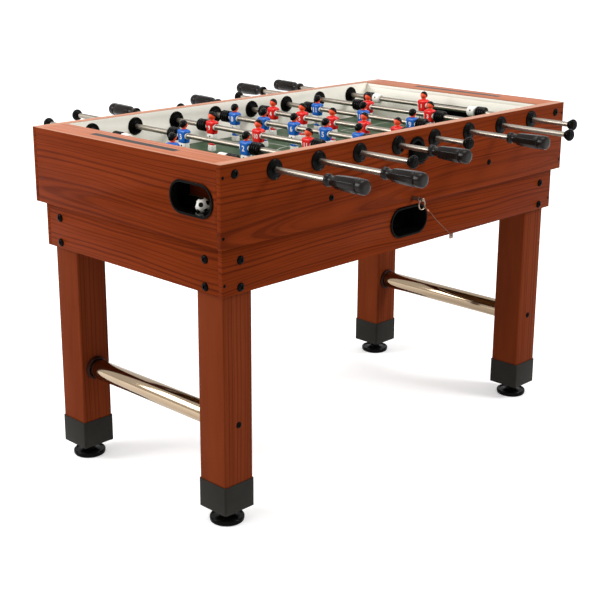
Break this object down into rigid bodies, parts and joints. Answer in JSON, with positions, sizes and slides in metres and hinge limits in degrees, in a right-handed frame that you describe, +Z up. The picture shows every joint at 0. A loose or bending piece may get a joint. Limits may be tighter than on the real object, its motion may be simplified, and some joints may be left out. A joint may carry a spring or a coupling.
{
  "type": "foosball table",
  "caption": "Foosball table with a laminated cabinet on square legs, chrome player rods that slide and spin, ball returns, serve cups and a lock pin.",
  "frame": {"origin": "on the floor, under the middle of the pitch", "axes": "+X along the pitch from the left goal to the right goal, +Y from the near side to the far side along the rods, +Z up"},
  "size_m": [1.221, 1.234, 0.823],
  "materials": {
    "cabinet_laminate": "satin red wood-grain laminate with cathedral grain",
    "leg_laminate": "satin red wood-grain laminate, grain upright",
    "peach_board": "satin pale salmon laminate",
    "cream_board": "satin cream laminate",
    "pitch_board": "printed green board with white markings under satin varnish",
    "black_plastic": "moulded black plastic, fine texture",
    "leg_plastic": "moulded dark plastic, fine texture",
    "handle_plastic": "moulded black plastic with a soft sheen",
    "black_rubber": "matt black rubber",
    "chrome_rod": "bright chrome plate",
    "chrome_tube": "bright chrome plate",
    "bright_steel": "bright zinc-plated steel",
    "wire_rope": "stranded steel wire",
    "ball_plastic": "white plastic with black spots",
    "player_blue": "moulded blue plastic with painted details",
    "player_red": "moulded red plastic with painted details",
    "stop_collar": "moulded white plastic",
    "black_bolt": "black domed hex-socket bolt"
  },
  "bodies": {
    "cabinet": {"side_panel_near": "cabinet_laminate", "side_panel_far": "cabinet_laminate", "end_panel_left": "cabinet_laminate", "end_panel_right": "cabinet_laminate", "apron_near": "cabinet_laminate", "apron_far": "cabinet_laminate", "apron_left": "cabinet_laminate", "apron_right": "cabinet_laminate", "leg_near_left": "leg_laminate", "leg_sleeve_near_left": "leg_plastic", "leg_near_right": "leg_laminate", "leg_sleeve_near_right": "leg_plastic", "leg_far_left": "leg_laminate", "leg_sleeve_far_left": "leg_plastic", "leg_far_right": "leg_laminate", "leg_sleeve_far_right": "leg_plastic", "goal_wall_left": "cream_board", "top_cap_left": "peach_board", "stretcher_left": "chrome_tube", "ball_return_left": "black_plastic", "goal_wall_right": "cream_board", "top_cap_right": "peach_board", "stretcher_right": "chrome_tube", "ball_return_right": "black_plastic", "playfield": "pitch_board", "side_ball_return": "black_plastic", "serve_cup_near": "black_plastic", "serve_cup_far": "black_plastic", "lanyard": "wire_rope"},
    "slide_1": {"bumper_1": "black_rubber"},
    "spin_1": {"rod_1": "chrome_rod", "handle_1": "handle_plastic"},
    "slide_2": {"bumper_2": "black_rubber"},
    "spin_2": {"rod_2": "chrome_rod", "handle_2": "handle_plastic"},
    "slide_3": {"bumper_3": "black_rubber"},
    "spin_3": {"rod_3": "chrome_rod", "handle_3": "handle_plastic"},
    "slide_4": {"bumper_4": "black_rubber"},
    "spin_4": {"rod_4": "chrome_rod", "handle_4": "handle_plastic"},
    "slide_5": {"bumper_5": "black_rubber"},
    "spin_5": {"rod_5": "chrome_rod", "handle_5": "handle_plastic"},
    "slide_6": {"bumper_6": "black_rubber"},
    "spin_6": {"rod_6": "chrome_rod", "handle_6": "handle_plastic"},
    "slide_7": {"bumper_7": "black_rubber"},
    "spin_7": {"rod_7": "chrome_rod", "handle_7": "handle_plastic"},
    "slide_8": {"bumper_8": "black_rubber"},
    "spin_8": {"rod_8": "chrome_rod", "handle_8": "handle_plastic"},
    "levelling_near_left": {"foot_near_left": "leg_plastic"},
    "levelling_near_right": {"foot_near_right": "leg_plastic"},
    "levelling_far_left": {"foot_far_left": "leg_plastic"},
    "levelling_far_right": {"foot_far_right": "leg_plastic"},
    "lock": {"lock_pin": "bright_steel", "pull_ring": "bright_steel"},
    "ball_body": {"ball": "ball_plastic"}
  },
  "joints": [
    {"name": "rod_1_slide", "type": "slide", "parent": "cabinet", "child": "slide_1", "axis": [0, 1, 0], "range_m": [-0.0807, 0.0807]},
    {"name": "rod_1_spin", "type": "hinge", "parent": "slide_1", "child": "spin_1", "pos_m": [-0.4585, 0, 0.787], "axis": [0, 1, 0], "continuous": true},
    {"name": "rod_2_slide", "type": "slide", "parent": "cabinet", "child": "slide_2", "axis": [0, 1, 0], "range_m": [-0.1427, 0.1267]},
    {"name": "rod_2_spin", "type": "hinge", "parent": "slide_2", "child": "spin_2", "pos_m": [-0.3275, 0.008, 0.787], "axis": [0, 1, 0], "continuous": true},
    {"name": "rod_3_slide", "type": "slide", "parent": "cabinet", "child": "slide_3", "axis": [0, 1, 0], "range_m": [-0.0787, 0.0827]},
    {"name": "rod_3_spin", "type": "hinge", "parent": "slide_3", "child": "spin_3", "pos_m": [-0.1965, -0.002, 0.787], "axis": [0, 1, 0], "continuous": true},
    {"name": "rod_4_slide", "type": "slide", "parent": "cabinet", "child": "slide_4", "axis": [0, 1, 0], "range_m": [-0.0421, 0.0233]},
    {"name": "rod_4_spin", "type": "hinge", "parent": "slide_4", "child": "spin_4", "pos_m": [-0.0655, 0.0094, 0.787], "axis": [0, 1, 0], "continuous": true},
    {"name": "rod_5_slide", "type": "slide", "parent": "cabinet", "child": "slide_5", "axis": [0, 1, 0], "range_m": [-0.0357, 0.0297]},
    {"name": "rod_5_spin", "type": "hinge", "parent": "slide_5", "child": "spin_5", "pos_m": [0.0655, 0.003, 0.787], "axis": [0, 1, 0], "continuous": true},
    {"name": "rod_6_slide", "type": "slide", "parent": "cabinet", "child": "slide_6", "axis": [0, 1, 0], "range_m": [-0.0967, 0.0647]},
    {"name": "rod_6_spin", "type": "hinge", "parent": "slide_6", "child": "spin_6", "pos_m": [0.1965, 0.016, 0.787], "axis": [0, 1, 0], "continuous": true},
    {"name": "rod_7_slide", "type": "slide", "parent": "cabinet", "child": "slide_7", "axis": [0, 1, 0], "range_m": [-0.1427, 0.1267]},
    {"name": "rod_7_spin", "type": "hinge", "parent": "slide_7", "child": "spin_7", "pos_m": [0.3275, 0.008, 0.787], "axis": [0, 1, 0], "continuous": true},
    {"name": "rod_8_slide", "type": "slide", "parent": "cabinet", "child": "slide_8", "axis": [0, 1, 0], "range_m": [-0.1087, 0.0527]},
    {"name": "rod_8_spin", "type": "hinge", "parent": "slide_8", "child": "spin_8", "pos_m": [0.4585, 0.028, 0.787], "axis": [0, 1, 0], "continuous": true},
    {"name": "foot_near_left_level", "type": "slide", "parent": "cabinet", "child": "levelling_near_left", "axis": [0, 0, 1], "range_m": [-0.015, 0]},
    {"name": "foot_near_right_level", "type": "slide", "parent": "cabinet", "child": "levelling_near_right", "axis": [0, 0, 1], "range_m": [-0.015, 0]},
    {"name": "foot_far_left_level", "type": "slide", "parent": "cabinet", "child": "levelling_far_left", "axis": [0, 0, 1], "range_m": [-0.015, 0]},
    {"name": "foot_far_right_level", "type": "slide", "parent": "cabinet", "child": "levelling_far_right", "axis": [0, 0, 1], "range_m": [-0.015, 0]},
    {"name": "lock_pin_pull", "type": "slide", "parent": "cabinet", "child": "lock", "axis": [0, -1, 0], "range_m": [0, 0.02]},
    {"name": "ball_roll", "type": "slide", "parent": "cabinet", "child": "ball_body", "axis": [0, 0.9989, 0.0477], "range_m": [0, 0.3]}
  ]
}
